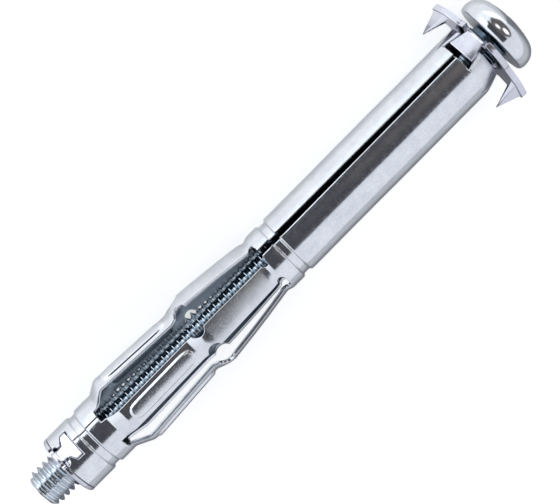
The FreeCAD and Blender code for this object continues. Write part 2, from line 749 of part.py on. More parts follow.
def lay_down(pieces):
    """Lays the anchor on its side as it comes to rest: tip towards -X, head towards +X, and the
    origin under the middle of its box."""
    roll = FreeCAD.Rotation(FreeCAD.Vector(0, 0, 1), 180 - sheet.get("lying_roll_angle"))
    on_side = FreeCAD.Rotation(FreeCAD.Vector(0, 1, 0), -90)
    turned = FreeCAD.Placement(FreeCAD.Vector(0, 0, 0), on_side.multiply(roll))
    shapes = []
    for piece in pieces:
        piece.Placement = turned.multiply(piece.Placement)
        shapes.append(piece.Shape.copy())
    box = Part.makeCompound(shapes).optimalBoundingBox(False)
    base = FreeCAD.Vector(-(box.XMin + box.XMax) / 2, -(box.YMin + box.YMax) / 2, -box.ZMin)
    for piece in pieces:
        piece.Placement = FreeCAD.Placement(base, FreeCAD.Rotation()).multiply(piece.Placement)
    doc.recompute()


doc.recompute()
check(PIECES)
seat_flange(flange_plate)
lay_down(PIECES)
check(PIECES)
os.makedirs("parts", exist_ok=True)
for piece in PIECES:
    piece.Shape.exportStep(f"parts/{piece.Label}.step")
    box = piece.Shape.BoundBox
    spans = f"{box.XLength:.2f} x {box.YLength:.2f} x {box.ZLength:.2f}"
    print(f"{piece.Label}: {piece.Shape.Volume:.1f} mm3, {spans}")
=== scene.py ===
import math

import bmesh
import bpy
import numpy as np
from mathutils import Matrix, Vector


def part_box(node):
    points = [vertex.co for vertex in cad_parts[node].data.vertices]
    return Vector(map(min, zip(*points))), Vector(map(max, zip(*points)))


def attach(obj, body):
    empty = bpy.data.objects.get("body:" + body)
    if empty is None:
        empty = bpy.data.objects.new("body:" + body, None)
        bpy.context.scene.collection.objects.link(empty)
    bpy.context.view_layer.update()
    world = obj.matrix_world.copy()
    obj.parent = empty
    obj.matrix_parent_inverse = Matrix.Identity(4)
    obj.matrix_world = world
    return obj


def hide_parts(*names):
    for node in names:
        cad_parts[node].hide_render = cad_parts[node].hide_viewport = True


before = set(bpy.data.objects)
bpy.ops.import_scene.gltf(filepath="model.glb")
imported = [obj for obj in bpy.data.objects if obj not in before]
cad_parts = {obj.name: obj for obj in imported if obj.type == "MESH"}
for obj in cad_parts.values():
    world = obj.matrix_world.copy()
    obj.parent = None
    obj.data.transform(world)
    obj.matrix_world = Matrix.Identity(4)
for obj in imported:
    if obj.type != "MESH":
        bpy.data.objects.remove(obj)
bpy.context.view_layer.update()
mm = 0.001

# All pieces are drawn in millimetres about the anchor's own axis, as the solids are: z = 0 at the
# sleeve's mouth, z grows towards the screw's tip, angle 0 at the seam. layDown puts them on the floor.
lying = {"roll": 36.0, "tip": 84.8}
rollCos, rollSin = math.cos(math.radians(lying["roll"])), math.sin(math.radians(lying["roll"]))
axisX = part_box("screw")[0][0] + lying["tip"] * mm
axisY = (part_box("nut_plate")[0][1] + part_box("nut_plate")[1][1]) / 2
axisZ = (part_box("nut_plate")[0][2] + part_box("nut_plate")[1][2]) / 2


# Turns local x, y about the axis by the roll, then points local z along -X and moves to the axis.
def layDown(x, y, z):
    x, y, z = np.broadcast_arrays(np.asarray(x, float), np.asarray(y, float), np.asarray(z, float))
    u, v = x * rollSin + y * rollCos, x * rollCos - y * rollSin
    return np.stack([axisX - z * mm, axisY + u * mm, axisZ + v * mm], -1)


# Radius and angle in degrees about the axis give x and y.
def layRound(r, angle, z):
    a = np.radians(angle)
    return layDown(r * np.cos(a), r * np.sin(a), z)


# The way back from a mesh's points, in metres, to local x, y, z in millimetres.
def standUp(mesh):
    flat = np.empty(len(mesh.vertices) * 3)
    mesh.vertices.foreach_get("co", flat)
    along, u, v = ((flat.reshape(-1, 3) - (axisX, axisY, axisZ)) / mm).T
    return u * rollSin + v * rollCos, u * rollCos - v * rollSin, -along


# 0 below 0, 1 above 1, and 3t^2 - 2t^3 between.
def ease(t):
    t = np.clip(t, 0, 1)
    return t * t * (3 - 2 * t)


# Quads of a rows x columns grid, each seen from outside as row, next column, next row.
def gridFaces(rows, columns, wrap=False):
    i = np.arange(rows - 1)[:, None]
    j = np.arange(columns if wrap else columns - 1)[None, :]
    corner, beside = i * columns + j, i * columns + (j + 1) % columns
    return np.stack([corner, beside, beside + columns, corner + columns], -1).reshape(-1, 4)


# Joins several (points, faces) shells into one mesh, merges the shared borders and drops what has no area.
def makePiece(name, shells, mergeAt=2e-7):
    points, faces, count = [], [], 0
    for shellPoints, shellFaces in shells:
        flat = shellPoints.reshape(-1, 3)
        points.append(flat)
        faces.append(shellFaces + count)
        count += len(flat)
    mesh = bpy.data.meshes.new(name)
    mesh.from_pydata(np.concatenate(points).tolist(), [], [f for part in faces for f in part.tolist()])
    work = bmesh.new()
    work.from_mesh(mesh)
    bmesh.ops.remove_doubles(work, verts=work.verts, dist=mergeAt)
    bmesh.ops.dissolve_degenerate(work, edges=work.edges, dist=mergeAt / 2)
    work.to_mesh(mesh)
    work.free()
    piece = bpy.data.objects.new(name, mesh)
    bpy.context.scene.collection.objects.link(piece)
    return piece


# Runs the piece's modifiers into its mesh and keeps creases sharper than the angle.
def bake(piece, sharp=40):
    graph = bpy.context.evaluated_depsgraph_get()
    mesh = bpy.data.meshes.new_from_object(piece.evaluated_get(graph))
    piece.modifiers.clear()
    piece.data = mesh
    mesh.shade_smooth()
    mesh.set_sharp_from_angle(angle=math.radians(sharp))
    return piece


# Gives each point of a piece a value under a name, which its material reads.
def paint(piece, name, values):
    layer = piece.data.attributes.new(name, "FLOAT", "POINT")
    layer.data.foreach_set("value", np.asarray(values, np.float32))


# Rounds the edges that carry a bevel weight; the width is that of an edge whose weight is 1.
def addBevel(piece, width, segments):
    bevel = piece.modifiers.new("edges", "BEVEL")
    bevel.width = width * mm
    bevel.segments = segments
    bevel.limit_method = "WEIGHT"
    bevel.use_clamp_overlap = False
    weigh = piece.modifiers.new("normals", "WEIGHTED_NORMAL")
    weigh.keep_sharp = True


# Plating: each noise as its stretch along the axis, scale per metre, detail and roughness; then the ranges of
# the noises that are used, their shares in the mixtures, and the heights of waves and lines in metres.
plating = {
    "mottle": (1, 420, 4, 0.6), "cloud": (1, 1500, 4, 0.6), "grain": (1, 4200, 4, 0.7),
    "rolled": (0.06, 6000, 3, 0.55),
    "tintRange": (0.35, 0.65), "cloudRange": (0.4, 0.75), "grainRange": (0.4, 0.72),
    "cloudShare": 0.35, "grainShare": 0.75, "fineShare": 0.5, "wave": 2e-5, "line": 4e-6,
}


# Zinc: bright metal. Its roughness, tint and height follow a cloudy mottle, a fine grain and rolling lines.
# "drawn" makes it rougher where the sheet was worked; the painted shade value mixes in the dark "inner"
# colour, a painted shade where the part lies in shade.
def makeZinc(name, finish):
    material = bpy.data.materials.new(name)
    material.use_nodes = True
    tree = material.node_tree
    tree.nodes.clear()
    make, join = tree.nodes.new, tree.links.new
    output = make("ShaderNodeOutputMaterial")
    metal = make("ShaderNodeBsdfPrincipled")
    metal.inputs["Metallic"].default_value = 1.0
    join(metal.outputs["BSDF"], output.inputs["Surface"])
    place = make("ShaderNodeTexCoord")

    def noise(stretch, scale, detail, roughness):
        spot = make("ShaderNodeMapping")
        spot.inputs["Location"].default_value = (finish["seed"] * 0.013, finish["seed"] * 0.007, 0)
        spot.inputs["Scale"].default_value = (stretch, 1, 1)
        join(place.outputs["Object"], spot.inputs["Vector"])
        node = make("ShaderNodeTexNoise")
        node.inputs["Scale"].default_value = scale
        node.inputs["Detail"].default_value = detail
        node.inputs["Roughness"].default_value = roughness
        join(spot.outputs["Vector"], node.inputs["Vector"])
        return node.outputs["Fac"]

    def spread(value, low, high, fromLow, fromHigh):
        node = make("ShaderNodeMapRange")
        node.inputs["From Min"].default_value = fromLow
        node.inputs["From Max"].default_value = fromHigh
        node.inputs["To Min"].default_value = low
        node.inputs["To Max"].default_value = high
        join(value, node.inputs["Value"])
        return node.outputs["Result"]

    def bump(height, strength, distance, normal=None):
        node = make("ShaderNodeBump")
        node.inputs["Strength"].default_value = strength
        node.inputs["Distance"].default_value = distance
        join(height, node.inputs["Height"])
        if normal is not None:
            join(normal, node.inputs["Normal"])
        return node.outputs["Normal"]

    def reckon(operation, first, second, third=None):
        node = make("ShaderNodeMath")
        node.operation = operation
        for socket, value in zip(node.inputs, (first, second, third)):
            if isinstance(value, (int, float)):
                socket.default_value = value
            elif value is not None:
                join(value, socket)
        return node.outputs[0]

    def painted(name):
        node = make("ShaderNodeAttribute")
        node.attribute_name = name
        return node.outputs["Fac"]

    mottle, cloud, grain, rolled = (noise(*plating[name]) for name in ("mottle", "cloud", "grain", "rolled"))
    drawn, paintedShade = painted("drawn"), painted("paintedShade")
    clouded = spread(cloud, 0, 1, *plating["cloudRange"])
    grained = spread(grain, 0, plating["grainShare"], *plating["grainRange"])
    patchy = reckon("MULTIPLY_ADD", clouded, plating["cloudShare"], grained)
    rough = spread(patchy, *finish["rough"], 0.0, 1.0)
    rough = reckon("MULTIPLY_ADD", drawn, finish["drawn"], rough)
    join(reckon("MULTIPLY_ADD", paintedShade, finish["innerRough"], rough), metal.inputs["Roughness"])
    colour = make("ShaderNodeMix")
    colour.data_type = "RGBA"
    colour.inputs["A"].default_value = (*finish["dull"], 1)
    colour.inputs["B"].default_value = (*finish["bright"], 1)
    fine = spread(grain, 0, 1, *plating["tintRange"])
    broad = spread(mottle, 0, 1 - plating["fineShare"], *plating["tintRange"])
    join(reckon("MULTIPLY_ADD", fine, plating["fineShare"], broad), colour.inputs["Factor"])
    # Painted shade: the colour is mixed towards the dark "inner" colour by the painted shade value.
    dim = make("ShaderNodeMix")
    dim.data_type = "RGBA"
    dim.inputs["B"].default_value = (*finish["inner"], 1)
    join(paintedShade, dim.inputs["Factor"])
    join(colour.outputs["Result"], dim.inputs["A"])
    join(dim.outputs["Result"], metal.inputs["Base Color"])
    waves = bump(mottle, finish["waves"], plating["wave"])
    lines = bump(rolled, finish["lines"], plating["line"], waves)
    join(bump(grain, finish["grain"], plating["line"], lines), metal.inputs["Normal"])
    return material


# Camera: nearly square to the axis and a little in front of straight above, rolled until the axis climbs.
# Millimetres and degrees; only "near", where the view begins, is in metres.
camera = {
    "height": 309.0, "lean": 12.6, "over": 8.89, "aim": 0.89, "roll": 45.25,
    "lens": 144.9, "sensor": 36, "near": 0.01,
}


def placeCamera():
    lean = math.radians(camera["lean"])
    away = Vector((0, math.sin(lean), math.cos(lean)))
    middle = Vector((0, axisY, axisZ))
    spot = middle + Vector((camera["over"] * mm, 0, 0)) + away * (camera["height"] * mm)
    back = (spot - middle - Vector((camera["aim"] * mm, 0, 0))).normalized()
    along = Vector((1, 0, 0))
    along = (along - back * along.dot(back)).normalized()
    across = back.cross(along)
    turn = math.radians(camera["roll"])
    right = along * math.cos(turn) - across * math.sin(turn)
    up = along * math.sin(turn) + across * math.cos(turn)
    data = bpy.data.cameras.new("photoView")
    data.sensor_width = camera["sensor"]
    data.lens = camera["lens"]
    data.clip_start = camera["near"]
    view = bpy.data.objects.new("photoView", data)
    view.matrix_world = Matrix.Translation(spot) @ Matrix((right, up, back)).transposed().to_4x4()
    bpy.context.scene.collection.objects.link(view)
    bpy.context.scene.camera = view


placeCamera()
print("camera placed")

# Sleeve: one outer skin on a grid of heights and angles, which Solidify then gives its sheet. Millimetres;
# legHalf is half a leg's width in degrees. The seam's sizes are half its gap; the mouth's lands stand
# between dovetail notches.
sleeve = {
    "outer": 4.77, "sheet": 0.55, "length": 79.07, "edge": 0.1,
    "beads": (37.45, 74.45), "beadHalf": 0.8, "beadFloor": 0.42, "beadDepth": 0.33,
    "seamMouth": 0.275, "seamLegs": 0.525, "seamNut": 0.07,
    "landDepth": 2.75, "landMouth": 1.96, "landFloor": 2.625, "landBlend": 9, "crimp": 0.9, "crimpCurve": 1.2,
    "legs": 5, "legHalf": 24.2, "slots": (40.2, 71.5),
}
# Waves in the tube's wall: each has its share, its rate along the tube, its count round it and a phase.
rolling = {
    "deep": 0.011, "along": (2.75, 36.5), "fade": 4,
    "waves": ((1, 0.31, 2, 0), (0.7, 0.17, -3, 1), (0.4, 0.83, 1, 0)),
}
# Legs: heights of the bends, and the rise above the tube and half the bend's length at each. Notches are
# place, side and radius. Between the first two values of "flat" the face is flatter, by the third. Numbers 0
# and 4 are the legs beside the seam: seamTrim is heights and what is trimmed there, seamFoot stands for their
# last two heights, and seamSide says to which side their ribs move.
leg = {
    "heights": (40.35, 41.1, 47.0, 53.3, 55.65, 68.4, 71.0), "rises": (0, -0.25, 0.64, 1.33, 0.44, 1.25, 0),
    "bends": (0.15, 0.12, 3.0, 0.75, 0.25, 0.4, 0.15),
    "flat": (40.9, 54.6, 0.078), "flatFades": (1.2, 1.5), "flatMean": 1.3,
    "neckNotch": (40.77, 2.075, 0.57), "hingeNotch": (53.6, 2.335, 1.22),
    "seamTrim": {
        0: ((40.2, 50, 71.5), (0.5, 0.5, 0.45)),
        4: ((40.2, 43, 50, 71.5), (0.62, 0.58, 0.35, 0.26)),
    },
    "trimFades": (0.2, 2), "trimEnd": 71.4, "seamFoot": {0: (68.8, 70.65), 4: (68.8, 70.65)},
    "seamSide": {0: 1, 4: -1},
    "rib": {
        "middle": 61.95, "straight": 4.7, "foot": 1.22, "wall": 0.32,
        "height": 0.23, "flat": 0.03, "aside": 0.17,
    },
}
# Lock's notch: heights and half widths of its T, and the round relief at each side as place, side and radius.
lock = {
    "top": 76.16, "slant": 77.33, "neckTop": 77.95, "head": 2.24, "neck": 1.02,
    "reliefs": ((78.84, 1.2, 0.3), (78.84, 1.396, 0.62)),
}
# Columns of the grid, in degrees: beside the seam, at the first land's borders and at the lock's notch, which
# moves columns as far as "calm" beyond the seam's. inSlot is how many stand in a slot, and inLeg where they
# stand on a leg, as shares of half its width.
columnsAt = {
    "seam": (0.0, 3.9, 7.8), "landStart": 33.4, "landEnd": 146.6, "lock": 26.5, "calm": 48.4, "inSlot": 4,
    "inLeg": (0, .15, .3, .4, .45, .49, .53, .57, .61, .65, .69, .74, .79, .86, .93, 1),
}

legShares = np.concatenate([-np.array(columnsAt["inLeg"])[:0:-1], columnsAt["inLeg"]])
halfWidth = sleeve["outer"] * math.sin(math.radians(sleeve["legHalf"]))
legTurn = 360 / sleeve["legs"]


# Angles of all columns: beside the seam, then each leg's and the slot's after it, and the seam's other side.
def columnAngles():
    legAngles = np.degrees(np.arcsin(legShares * halfWidth / sleeve["outer"]))
    slotShares = np.arange(1, columnsAt["inSlot"] + 1) / (columnsAt["inSlot"] + 1)
    slotAngles = sleeve["legHalf"] + (legTurn - 2 * sleeve["legHalf"]) * slotShares
    seam = np.array(columnsAt["seam"])
    runs = [seam]
    for number in range(sleeve["legs"]):
        middle = legTurn * (number + 0.5)
        runs += [middle + legAngles, middle + slotAngles]
    runs[-1] = 360 - seam[::-1]  # after the last leg comes the seam, not a slot
    return np.concatenate(runs)


natural = columnAngles()
last = len(natural) - 1
openColumn = len(columnsAt["seam"])


# The column that stands nearest to an angle.
def nearestColumn(angle):
    return int(np.argmin(np.abs(natural - angle)))


landStart, landEnd, lockColumn = (nearestColumn(columnsAt[name]) for name in ("landStart", "landEnd", "lock"))


# Depth of a rolled-in groove at z: full on its floor, with eased walls on both sides.
def bead(z, place):
    wall = sleeve["beadHalf"] - sleeve["beadFloor"]
    return sleeve["beadDepth"] * ease((sleeve["beadHalf"] - np.abs(z - place)) / wall)


# The tube isn't quite round after rolling: a sum of slow sine waves that fades out at its two ends.
def rollingWaves(z, angle):
    a = np.radians(angle)
    wave = sum(share * np.sin(z * rate + count * a + phase) for share, rate, count, phase in rolling["waves"])
    start, end = rolling["along"]
    return rolling["deep"] * wave * ease((z - start) / rolling["fade"]) * ease((end - z) / rolling["fade"])


# Angle of a sleeve edge that lies y beside the seam's plane.
def edgeAngle(y):
    return np.degrees(np.arcsin(np.asarray(y) / sleeve["outer"]))


# Mouth tube: radius = outer less the bead, plus the waves. Beside the seam the columns close up to a gap
# that widens with z, and near the mouth they are pulled to the lands' borders.
def mouthTube(z):
    z = z[:, None]
    gap = edgeAngle(sleeve["seamMouth"] + (sleeve["seamLegs"] - sleeve["seamMouth"]) * z / sleeve["slots"][0])
    free = natural[openColumn]
    near, far = np.clip(1 - natural / free, 0, 1), np.clip(1 - (360 - natural) / free, 0, 1)
    angle = natural + gap * near - gap * far
    floor = edgeAngle(sleeve["landFloor"])
    first, second = floor - natural[landStart], 180 - floor - natural[landEnd]
    known = np.array([0, natural[landStart], natural[landEnd], 180])
    shift = np.array([0, first, second, 0])
    known = np.concatenate([known, 360 - known[-2::-1]])
    shift = np.concatenate([shift, -shift[-2::-1]])
    blend = ease((sleeve["landBlend"] - z) / (sleeve["landBlend"] - sleeve["landDepth"]))
    angle = angle + np.interp(natural, known, shift) * blend
    radius = sleeve["outer"] - bead(z, sleeve["beads"][0]) + rollingWaves(z, angle)
    return layRound(radius, angle, np.broadcast_to(z, angle.shape))


# Lands: the stretches of the mouth between the dovetail notches, narrower towards the mouth. One leans
# inwards, by a power of the share of its depth.
def mouthLand(z, side):
    z = z[:, None]
    y = sleeve["landMouth"] + (sleeve["landFloor"] - sleeve["landMouth"]) * z / sleeve["landDepth"]
    start = edgeAngle(y)
    share = (natural[landStart:landEnd + 1] - natural[landStart]) / (natural[landEnd] - natural[landStart])
    angle = start + (180 - 2 * start) * share
    radius = sleeve["outer"] + 0 * angle
    if side < 0:
        angle = 360 - angle[:, ::-1]
        radius = radius - sleeve["crimp"] * (1 - z / sleeve["landDepth"]) ** sleeve["crimpCurve"]
    return layRound(radius, angle, np.broadcast_to(z, angle.shape))


# How far a leg stands off the tube: straight runs whose slope changes along a parabola at each bend.
def legRise(z, number):
    places = leg["heights"][:5] + leg["seamFoot"].get(number, leg["heights"][5:])
    slopes = np.diff(leg["rises"]) / np.diff(places)
    changes = np.diff(np.concatenate([[0], slopes, [0]]))
    rise = np.zeros_like(z)
    for place, bend, change in zip(places, leg["bends"], changes):
        after = z - place
        curve = (after + bend) ** 2 / (4 * bend)
        rise = rise + change * np.where(np.abs(after) < bend, curve, np.maximum(after, 0))
    return rise


# Half the width of a leg: straight edges less the round notches at neck and hinge, moved in by the trim.
def legHalfWidth(z, trim):
    first, second = leg["trimFades"]
    trim = trim * ease((z - sleeve["slots"][0]) / first) * ease((leg["trimEnd"] - z) / second)
    width = halfWidth - trim
    for place, side, radius in (leg["neckNotch"], leg["hingeNotch"]):
        reach = radius ** 2 - (z - place) ** 2
        width = np.where(reach > 0, np.minimum(width, side - trim - np.sqrt(np.maximum(reach, 0))), width)
    return width


# Leg: an arc of the tube moved out by its rise, flatter between neck and crest, with a long rib pressed up
# where y and z are inside a slot's outline. The two legs beside the seam are trimmed on the seam's side.
def oneLeg(z, number):
    z = z[:, None]
    rib = leg["rib"]
    trim = np.interp(z, *leg["seamTrim"].get(number, ((0, 1), (0, 0))))
    low, high = (trim, 0 * trim) if number == 0 else (0 * trim, trim)
    y = legShares * np.where(legShares < 0, legHalfWidth(z, low), legHalfWidth(z, high))
    across = y - rib["aside"] * leg["seamSide"].get(number, 0)
    away = np.sqrt(across ** 2 + np.maximum(np.abs(z - rib["middle"]) - rib["straight"], 0) ** 2)
    pressed = ease((rib["foot"] - away) / rib["wall"])
    start, end, flat = leg["flat"]
    flat = flat * ease((z - start) / leg["flatFades"][0]) * ease((end - z) / leg["flatFades"][1])
    out = np.sqrt(sleeve["outer"] ** 2 - y ** 2) + legRise(z, number) + flat * (y ** 2 - leg["flatMean"])
    out = out + pressed * (rib["height"] + rib["flat"] * across ** 2)
    middle = math.radians(legTurn * (number + 0.5))
    c, s = math.cos(middle), math.sin(middle)
    return layDown(out * c - y * s, out * s + y * c, np.broadcast_to(z, y.shape))


# Nut ring: radius = outer less the bead. Its columns drift from the legs' places to the T-notch's edge.
def nutRing(z):
    z = z[:, None]
    gap = edgeAngle(sleeve["seamNut"])
    free, notch, calm = natural[openColumn], natural[lockColumn], natural[openColumn] + columnsAt["calm"]
    plain = np.interp(natural, [0, free, 360 - free, 360], [gap, free, 360 - free, 360 - gap])
    head = edgeAngle(lock["head"])
    known = [0, notch, calm, 360 - calm, 360 - notch, 360]
    opened = np.interp(natural, known, [gap, head, calm, 360 - calm, 360 - head, 360 - gap])
    share = (z - sleeve["slots"][1]) / (lock["top"] - sleeve["slots"][1])
    angle = plain + (opened - plain) * share
    radius = sleeve["outer"] - bead(z, sleeve["beads"][1])
    return layRound(radius, angle, np.broadcast_to(z, angle.shape))


# Ring end: beside the T-notch; its border follows head, slant, neck and a round relief, small on one side.
def ringEnd(z):
    z = z[:, None]
    y = np.interp(z, [lock["slant"], lock["neckTop"]], [lock["head"], lock["neck"]])
    edges = []
    for place, side, radius in lock["reliefs"]:
        reach = radius ** 2 - (z - place) ** 2
        edges.append(edgeAngle(np.where(reach > 0, np.maximum(y, side + np.sqrt(np.maximum(reach, 0))), y)))
    columns = natural[lockColumn:last - lockColumn + 1]
    notch, calm = natural[lockColumn], natural[openColumn] + columnsAt["calm"]
    near = np.clip((calm - columns) / (calm - notch), 0, 1)
    far = np.clip((columns - 360 + calm) / (calm - notch), 0, 1)
    angle = columns + (edges[0] - notch) * near - (edges[1] - notch) * far
    return layRound(sleeve["outer"] + 0 * angle, angle, np.broadcast_to(z, angle.shape))


# Heights of a shell's rows, from runs of first, last and how many.
def heights(*runs):
    return np.unique(np.round(np.concatenate([np.linspace(a, b, n) for a, b, n in runs]), 4))


# How far points of the sleeve lie from the middle line of their leg's rib.
def ribDistance(x, y, z):
    beside = np.hypot(x, y) * np.sin(np.radians(np.degrees(np.arctan2(y, x)) % legTurn - legTurn / 2))
    return np.hypot(beside, np.maximum(np.abs(z - leg["rib"]["middle"]) - leg["rib"]["straight"], 0))


# Rounds the cut edges of the sheet, which turn sharply, but none on a rib or close to it.
def roundRims(piece):
    sharp, clear = math.radians(65), 0.08
    ribbed = ribDistance(*standUp(piece.data)) < leg["rib"]["foot"] + clear
    work = bmesh.new()
    work.from_mesh(piece.data)
    weight = work.edges.layers.float.new("bevel_weight_edge")
    for edge in work.edges:
        first, second = (v.index for v in edge.verts)
        if edge.is_manifold and edge.calc_face_angle() > sharp and not (ribbed[first] or ribbed[second]):
            edge[weight] = 1
    work.to_mesh(piece.data)
    work.free()
    addBevel(piece, sleeve["edge"], 3)
    return bake(piece)


# The shells share their border rows and columns, so that they merge into one sheet. Rows stand closest at
# the beads, the bends, the notches and the reliefs, which begin at a row of their own.
def makeSleeve():
    mouth, (slotsStart, slotsEnd) = sleeve["landDepth"], sleeve["slots"]
    large, small = lock["reliefs"][1][::2], lock["reliefs"][0][::2]
    largeStart, smallStart = large[0] - large[1], small[0] - small[1]
    landRows = heights((0, mouth, 8))
    tubeRows = heights((mouth, 2.95, 3), (2.95, 36.6, 34), (36.6, 38.3, 18), (38.3, 40, 4),
                       (40, slotsStart, 3))
    legRows = heights((slotsStart, 41.5, 18), (41.5, 41.9, 4), (41.9, 52.3, 22), (52.3, 55.1, 26),
                      (55.1, 56.6, 12), (56.6, 67.2, 14), (67.2, slotsEnd, 30))
    ringRows = heights((slotsEnd, 71.7, 3), (71.7, 73.6, 5), (73.6, 75.3, 18), (75.3, 76.05, 3),
                       (76.05, lock["top"], 3))
    endRows = heights((lock["top"], lock["slant"], 5), (lock["slant"], lock["neckTop"], 4),
                      (lock["neckTop"], largeStart + 0.005, 3), (largeStart + 0.02, smallStart, 5),
                      (smallStart + 0.005, large[0], 5), (large[0], sleeve["length"], 4))
    shells = [mouthLand(landRows, 1), mouthLand(landRows, -1), mouthTube(tubeRows)]
    shells += [nutRing(ringRows), ringEnd(endRows)]
    shells += [oneLeg(legRows, number) for number in range(sleeve["legs"])]
    piece = makePiece("rolledSleeve", [(points, gridFaces(*points.shape[:2])) for points in shells])
    solid = piece.modifiers.new("sheet", "SOLIDIFY")
    solid.thickness = sleeve["sheet"] * mm
    solid.offset = -1
    solid.use_even_offset = True
    return roundRims(bake(piece))


# Painted looks of the sleeve: each pair is the value at which a look is half there and how far it fades;
# "inner" places the painted shade of the inner wall. The crimp's look has half its angle in degrees and its
# strength too.
sleeveLook = {
    "rib": (0.195, 0.15), "faceStart": (41.75, 1.5), "faceEnd": (52.75, 1.5), "inner": (-0.45, 0.5),
    "crimp": (0, 0.6), "crimpHalf": 62, "crimpShare": 3,
}


# 0 well below the edge, 1 well above it, and eased over the fade.
def past(value, edge, fade):
    return ease((value - edge) / fade + 0.5)


# Paints two attributes: "drawn" on the ribs, the legs' long faces and, strongest, the crimped land; and a
# painted shade on the inner wall, whose normals point to the axis, which darkens it as if in shade.
def paintSleeve(piece):
    x, y, z = standUp(piece.data)
    radius, angle = np.hypot(x, y), np.degrees(np.arctan2(y, x))
    rib = past(leg["rib"]["foot"] - ribDistance(x, y, z), *sleeveLook["rib"])
    face = past(z, *sleeveLook["faceStart"]) * (1 - past(z, *sleeveLook["faceEnd"]))
    crimp = 1 - past(z - sleeve["landDepth"], *sleeveLook["crimp"])
    crimp = crimp * (np.abs(angle + 90) < sleeveLook["crimpHalf"])
    normals = np.empty(len(x) * 3)
    piece.data.vertices.foreach_get("normal", normals)
    u, v = normals.reshape(-1, 3)[:, 1:].T
    outward = ((u * rollSin + v * rollCos) * x + (u * rollCos - v * rollSin) * y) / np.maximum(radius, 1e-6)
    paint(piece, "drawn", rib + face + sleeveLook["crimpShare"] * crimp)
    # Painted shade on the inner wall.
    paint(piece, "paintedShade", 1 - past(outward, *sleeveLook["inner"]))


rolledSleeve = makeSleeve()
paintSleeve(rolledSleeve)
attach(rolledSleeve, "anchor")
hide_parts("sleeve")
print("sleeve rolled:", len(rolledSleeve.data.polygons), "faces")

# Screw thread: a skin wound round the axis. Each column stands a little further along, so that a row follows
# the helix. Each depth, 0 at the crest and 1 at the root, is at its place in the turn. A painted shade, which
# darkens the thread's colour, is where it ends, how far it fades and how strong it is.
thread = {
    "start": -0.9, "end": 84.8, "pitch": 1.0, "crest": 2.95, "root": 2.34, "shank": 2.66, "grows": 1.3,
    "chamfer": 0.7, "columns": 44,
    "places": (0, .03, .095, .125, .27, .42, .49, .5625, .635, .705, .855),
    "depths": (.06, 0, 0, .06, .5, .94, 1, 1.02, 1, .94, .5),
    "shades": ((79.7, 0.8, 0.6), (0, 0.5, 0.4)),
}


# Radius = crest less the depth there. It grows from the plain shank, a cone cuts it at the tip, and past each
# end it falls to 0 over half a pitch. Those points are held at the end, so that the skin closes flat.
def makeThread():
    columns, pitch, start, end = thread["columns"], thread["pitch"], thread["start"], thread["end"]
    perTurn, closing = len(thread["places"]), 0.5 * thread["pitch"]
    begin = start - pitch - closing
    turns = int((end - begin) / pitch) + 3
    place = (np.arange(turns)[:, None] + np.array(thread["places"])).reshape(-1, 1)
    depth = np.tile(thread["depths"], turns).reshape(-1, 1)
    share = np.arange(columns) / columns
    along = begin + pitch * (place + share)
    cut = thread["crest"] - (thread["crest"] - thread["root"]) * depth
    radius = thread["shank"] + (cut - thread["shank"]) * ease((along - start) / thread["grows"])
    radius = np.minimum(radius, thread["crest"] - np.clip(along - end + thread["chamfer"], 0, None))
    radius = radius * np.clip((end + closing - along) / closing, 0, 1)
    radius = radius * np.clip((along - start + closing) / closing, 0, 1)
    points = layRound(radius, share * 360, np.clip(along, start, end))
    rows = len(along)
    i = np.arange(rows - 1)[:, None]
    j = np.arange(columns)[None, :]
    step = np.where(j == columns - 1, perTurn, 0)  # the last column meets the first one a turn further on
    corner = i * columns + j
    beside = (i + step) * columns + (j + 1) % columns
    quads = np.stack([corner, beside, beside + columns, corner + columns], -1)
    quads = quads[np.broadcast_to((i + 1 + step) < rows, corner.shape)]
    piece = makePiece("screwThread", [(points, quads)], 1e-7)
    return bake(piece, 35)


# Paints the painted shade: the thread is darker within the sleeve, and darker still between its mouth and the
# head.
def paintThread(piece):
    along = standUp(piece.data)[2]
    shade = sum(share * ease((place - along) / fade) for place, fade, share in thread["shades"])
    paint(piece, "paintedShade", shade)


screwThread = makeThread()
paintThread(screwThread)
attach(screwThread, "screw")
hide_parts("screw")
print("thread cut:", len(screwThread.data.polygons), "faces")

# Screw head: rings from the floor of the cross recess, up its tapered walls and over crown, shoulder and rim
# to the neck. A cross is how far its wings reach and half their width. The rings of "rim" are insets from the
# rim and those of "face" radii, each with its height from the bearing face.
head = {
    "crown": -6.543, "bearing": -2.58, "radius": 5.846, "shoulder": 2.5, "shoulderHeight": 1.0,
    "rim": ((0.03, -0.06), (0.12, 0)), "rimTurn": 0.06, "face": ((5.0, 0), (3.5, 0), (3.1, 0), (2.95, 0.05)),
    "neck": 2.83, "neckStart": 0.2, "neckEnd": -1.3, "neckShade": (3.3, 0.3, 0.1),
    "recessDepth": 2.9, "opening": (3.0, 0.59), "floor": (1.45, 0.375), "lip": 0.07, "recessRing": 3.55,
    "floorShares": (0, 0.4, 0.85, 1), "wallShares": (0.04, 0.25, 0.5, 0.75, 0.96, 1),
    "lipShares": (0, 0.3, 0.65, 1), "crownRings": 5, "shoulderRings": 21, "endSteps": 3, "sideSteps": 9,
}


# The cross outline: half a wing's end, its side, the next wing's side and half its end, turned four times.
def crossOutline(far, near):
    ends, sides = head["endSteps"], head["sideSteps"]
    end = near * np.arange(ends) / ends
    side = far + (near - far) * np.arange(sides) / sides
    x = np.concatenate([np.full(ends, far), side, np.full(sides, near), near - end])
    y = np.concatenate([end, np.full(sides, near), near + far - side, np.full(ends, far)])
    turns = np.arange(4)[:, None] * math.pi / 2
    return (x * np.cos(turns) - y * np.sin(turns)).ravel(), (x * np.sin(turns) + y * np.cos(turns)).ravel()


